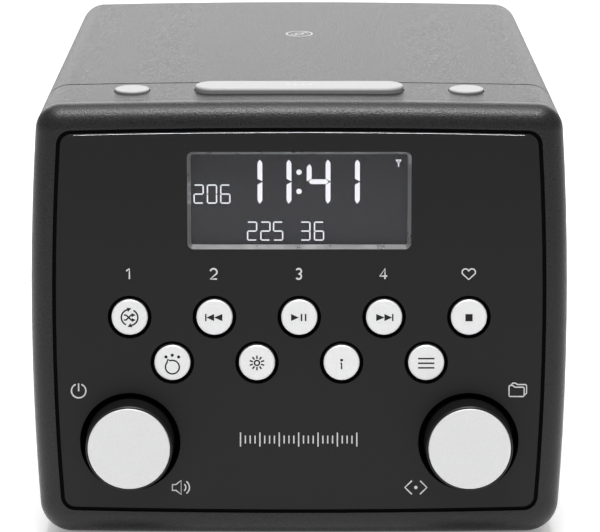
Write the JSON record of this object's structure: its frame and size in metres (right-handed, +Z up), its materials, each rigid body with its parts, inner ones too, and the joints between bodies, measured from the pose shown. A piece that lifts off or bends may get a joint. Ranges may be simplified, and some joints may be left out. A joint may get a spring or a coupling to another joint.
{
  "type": "tabletop radio",
  "caption": "Tabletop clock radio with inset front panel, round keys, two push-and-turn knobs, display and hinged disc lid",
  "frame": {"origin": "under the middle of the whole object, at the height of the feet", "axes": "+X right seen from the front, +Y to the rear, +Z up"},
  "size_m": [0.1702, 0.2022, 0.1436],
  "materials": {
    "textured_black": "fine moulded grain, satin",
    "satin_black": "smooth satin",
    "surround_grey": "polished bevel",
    "window_clear": "lightly smoked clear acrylic",
    "display_dark": "dark display ground",
    "white_plastic": "plain moulding",
    "silver_paint": "pale satin silver paint",
    "grey_silicone": "matt",
    "circuit_board": "solder mask",
    "zinc_plate": "plated",
    "steel": "bright",
    "paper_black": "matt pulp",
    "moulded_black": "fine matt",
    "rubber_black": "matt",
    "lens_glass": "coated",
    "aerial_chrome": "bright plated"
  },
  "bodies": {
    "radio_body": {"front_bezel": "textured_black", "front_panel": "satin_black", "display_surround": "surround_grey", "display_window": "window_clear", "display_glass": "display_dark", "display_backlight": "white_plastic", "keypad": "grey_silicone", "control_board": "circuit_board", "encoder_left": "zinc_plate", "encoder_right": "zinc_plate", "top_switch_board": "circuit_board", "cabinet": "textured_black", "rear_cover": "textured_black", "lid_hinge_pins": "steel", "lid_latch": "moulded_black", "cd_deck": "moulded_black", "cd_chassis": "moulded_black", "chassis_dampers": "rubber_black", "guide_rods": "steel", "sled_motor": "steel", "spindle_motor": "steel", "speaker_left": "zinc_plate", "speaker_left_cone": "paper_black", "speaker_right": "zinc_plate", "speaker_right_cone": "paper_black", "main_board": "circuit_board", "power_jack": "moulded_black", "headphone_jack": "moulded_black", "feet": "rubber_black", "screws": "steel"},
    "key_1": {"key_1": "silver_paint"},
    "key_2": {"key_2": "silver_paint"},
    "key_3": {"key_3": "silver_paint"},
    "key_4": {"key_4": "silver_paint"},
    "key_5": {"key_5": "silver_paint"},
    "key_6": {"key_6": "silver_paint"},
    "key_7": {"key_7": "silver_paint"},
    "key_8": {"key_8": "silver_paint"},
    "key_9": {"key_9": "silver_paint"},
    "alarm_left": {"alarm_button_left": "silver_paint"},
    "alarm_right": {"alarm_button_right": "silver_paint"},
    "snooze": {"snooze_bar": "silver_paint"},
    "left_push": {"encoder_left_plunger": "white_plastic"},
    "left_knob": {"knob_left_shaft": "steel", "knob_left": "satin_black", "knob_left_face": "silver_paint"},
    "right_push": {"encoder_right_plunger": "white_plastic"},
    "right_knob": {"knob_right_shaft": "steel", "knob_right": "satin_black", "knob_right_face": "silver_paint"},
    "lid": {"cd_lid": "textured_black", "lid_liner": "moulded_black"},
    "turntable": {"turntable": "moulded_black"},
    "sled": {"pickup_sled": "moulded_black", "pickup_lens": "lens_glass"},
    "lead_screw": {"lead_screw": "steel"},
    "aerial_knuckle": {"aerial_knuckle": "moulded_black"},
    "aerial_outer": {"aerial_tube": "aerial_chrome"},
    "aerial_middle": {"aerial_middle": "aerial_chrome"},
    "aerial_tip": {"aerial_tip": "aerial_chrome"}
  },
  "joints": [
    {"name": "key_1_press", "type": "slide", "parent": "radio_body", "child": "key_1", "axis": [0, 0.9974, -0.0724], "range_m": [0, 0.0008], "stiffness_N_per_m": 400, "springref_m": -0.001},
    {"name": "key_2_press", "type": "slide", "parent": "radio_body", "child": "key_2", "axis": [0, 0.9974, -0.0724], "range_m": [0, 0.0008], "stiffness_N_per_m": 400, "springref_m": -0.001},
    {"name": "key_3_press", "type": "slide", "parent": "radio_body", "child": "key_3", "axis": [0, 0.9974, -0.0724], "range_m": [0, 0.0008], "stiffness_N_per_m": 400, "springref_m": -0.001},
    {"name": "key_4_press", "type": "slide", "parent": "radio_body", "child": "key_4", "axis": [0, 0.9974, -0.0724], "range_m": [0, 0.0008], "stiffness_N_per_m": 400, "springref_m": -0.001},
    {"name": "key_5_press", "type": "slide", "parent": "radio_body", "child": "key_5", "axis": [0, 0.9974, -0.0724], "range_m": [0, 0.0008], "stiffness_N_per_m": 400, "springref_m": -0.001},
    {"name": "key_6_press", "type": "slide", "parent": "radio_body", "child": "key_6", "axis": [0, 0.9974, -0.0724], "range_m": [0, 0.0008], "stiffness_N_per_m": 400, "springref_m": -0.001},
    {"name": "key_7_press", "type": "slide", "parent": "radio_body", "child": "key_7", "axis": [0, 0.9974, -0.0724], "range_m": [0, 0.0008], "stiffness_N_per_m": 400, "springref_m": -0.001},
    {"name": "key_8_press", "type": "slide", "parent": "radio_body", "child": "key_8", "axis": [0, 0.9974, -0.0724], "range_m": [0, 0.0008], "stiffness_N_per_m": 400, "springref_m": -0.001},
    {"name": "key_9_press", "type": "slide", "parent": "radio_body", "child": "key_9", "axis": [0, 0.9974, -0.0724], "range_m": [0, 0.0008], "stiffness_N_per_m": 400, "springref_m": -0.001},
    {"name": "alarm_left_press", "type": "slide", "parent": "radio_body", "child": "alarm_left", "axis": [0, 0, -1], "range_m": [0, 0.001], "stiffness_N_per_m": 400, "springref_m": -0.001},
    {"name": "alarm_right_press", "type": "slide", "parent": "radio_body", "child": "alarm_right", "axis": [0, 0, -1], "range_m": [0, 0.001], "stiffness_N_per_m": 400, "springref_m": -0.001},
    {"name": "snooze_press", "type": "slide", "parent": "radio_body", "child": "snooze", "axis": [0, 0, -1], "range_m": [0, 0.001], "stiffness_N_per_m": 600, "springref_m": -0.001},
    {"name": "left_knob_press", "type": "slide", "parent": "radio_body", "child": "left_push", "axis": [0, 0.9974, -0.0724], "range_m": [0, 0.0007], "stiffness_N_per_m": 800, "springref_m": -0.001},
    {"name": "left_knob_turn", "type": "hinge", "parent": "left_push", "child": "left_knob", "pos_m": [-0.0538, -0.09073, 0.03443], "axis": [0, 0.9974, -0.0724], "continuous": true},
    {"name": "right_knob_press", "type": "slide", "parent": "radio_body", "child": "right_push", "axis": [0, 0.9974, -0.0724], "range_m": [0, 0.0007], "stiffness_N_per_m": 800, "springref_m": -0.001},
    {"name": "right_knob_turn", "type": "hinge", "parent": "right_push", "child": "right_knob", "pos_m": [0.0538, -0.09073, 0.03443], "axis": [0, 0.9974, -0.0724], "continuous": true},
    {"name": "lid_hinge", "type": "hinge", "parent": "radio_body", "child": "lid", "pos_m": [0, 0.08914, 0.12848], "axis": [-1, 0, 0], "range_deg": [0, 75]},
    {"name": "disc_spin", "type": "hinge", "parent": "radio_body", "child": "turntable", "pos_m": [0, 0.02224, 0.12348], "axis": [0, 0, 1], "continuous": true},
    {"name": "sled_travel", "type": "slide", "parent": "radio_body", "child": "sled", "axis": [0, -1, 0], "range_m": [0, 0.035]},
    {"name": "lead_screw_turn", "type": "hinge", "parent": "radio_body", "child": "lead_screw", "pos_m": [-0.027, 0.02224, 0.10648], "axis": [0, -1, 0], "range_deg": [0, 4201]},
    {"name": "aerial_swivel", "type": "hinge", "parent": "radio_body", "child": "aerial_knuckle", "pos_m": [0.062, 0.09764, 0.112], "axis": [0, 1, 0], "range_deg": [0, 180]},
    {"name": "aerial_tilt", "type": "hinge", "parent": "aerial_knuckle", "child": "aerial_outer", "pos_m": [0.062, 0.09764, 0.112], "axis": [0, 0, -1], "range_deg": [0, 90]},
    {"name": "aerial_middle_pull", "type": "slide", "parent": "aerial_outer", "child": "aerial_middle", "axis": [-1, 0, 0], "range_m": [0, 0.085]},
    {"name": "aerial_tip_pull", "type": "slide", "parent": "aerial_middle", "child": "aerial_tip", "axis": [-1, 0, 0], "range_m": [0, 0.085]}
  ],
  "couplings": [
    {"joint": "lead_screw_turn", "follows": "sled_travel", "rad_per_m": 2094.4}
  ]
}
